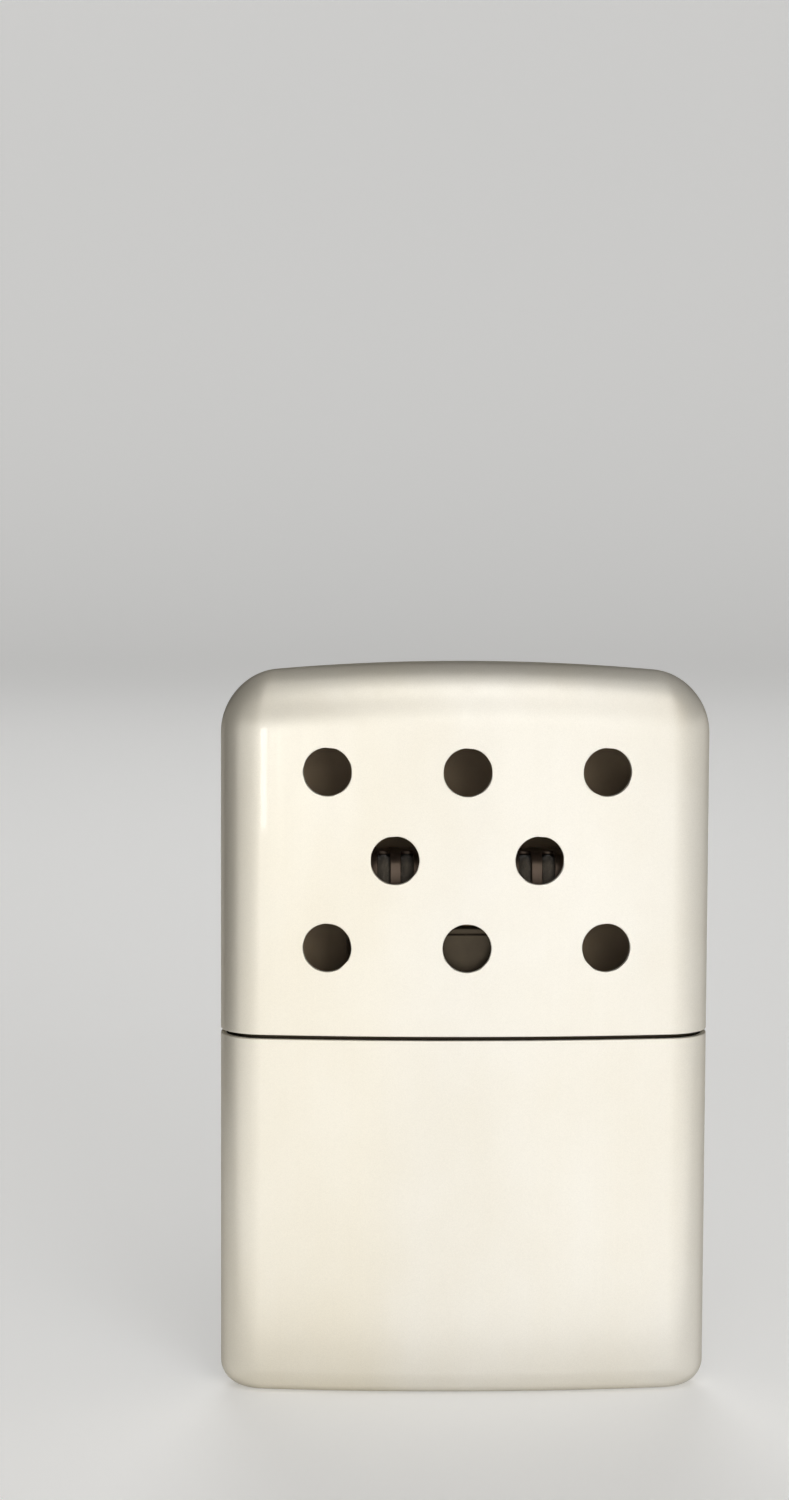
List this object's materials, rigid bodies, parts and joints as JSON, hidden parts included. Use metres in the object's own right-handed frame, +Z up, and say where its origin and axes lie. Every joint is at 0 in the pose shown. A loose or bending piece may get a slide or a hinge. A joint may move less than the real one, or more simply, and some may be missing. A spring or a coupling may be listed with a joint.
{
  "type": "catalytic hand warmer",
  "caption": "Flat pocket-size catalytic hand warmer: pull-off vented lid, cotton-packed fuel case with a collar and filler neck, and a push-on ribbed catalytic burner.",
  "frame": {"origin": "centre of the flat base, on the surface the warmer stands on", "axes": "+Z up from the base to the lid's crown, -Y out of the vented front face, +X to the right seen from the front"},
  "size_m": [0.0508, 0.0126, 0.0762],
  "materials": {
    "pearl_lacquer": "glossy pearl cream lacquer over drawn steel",
    "nickel_steel": "nickel-plated steel, satin",
    "burner_steel": "bright pressed steel, lightly heat tinted",
    "heat_tinted_steel": "pressed steel, straw to brown heat tint",
    "glass_fibre_catalyst": "matted glass fibre, grey with catalyst",
    "cotton": "loose white cotton batting",
    "felt": "pressed wool-white felt"
  },
  "bodies": {
    "tank": {"tank_case": "pearl_lacquer", "tank_closure": "nickel_steel", "filler_neck": "nickel_steel", "throat_felt": "felt", "wadding_front": "cotton", "wadding_middle": "cotton", "wadding_rear": "cotton"},
    "lid": {"vented_lid": "pearl_lacquer"},
    "burner": {"burner_base": "burner_steel", "support_plate": "burner_steel", "catalyst_mat": "glass_fibre_catalyst", "burner_cage": "heat_tinted_steel"}
  },
  "joints": [
    {"name": "lid_slide", "type": "slide", "parent": "tank", "child": "lid", "axis": [0, 0, 1], "range_m": [0, 0.045]},
    {"name": "burner_slide", "type": "slide", "parent": "tank", "child": "burner", "axis": [0, 0, 1], "range_m": [0, 0.012]}
  ]
}
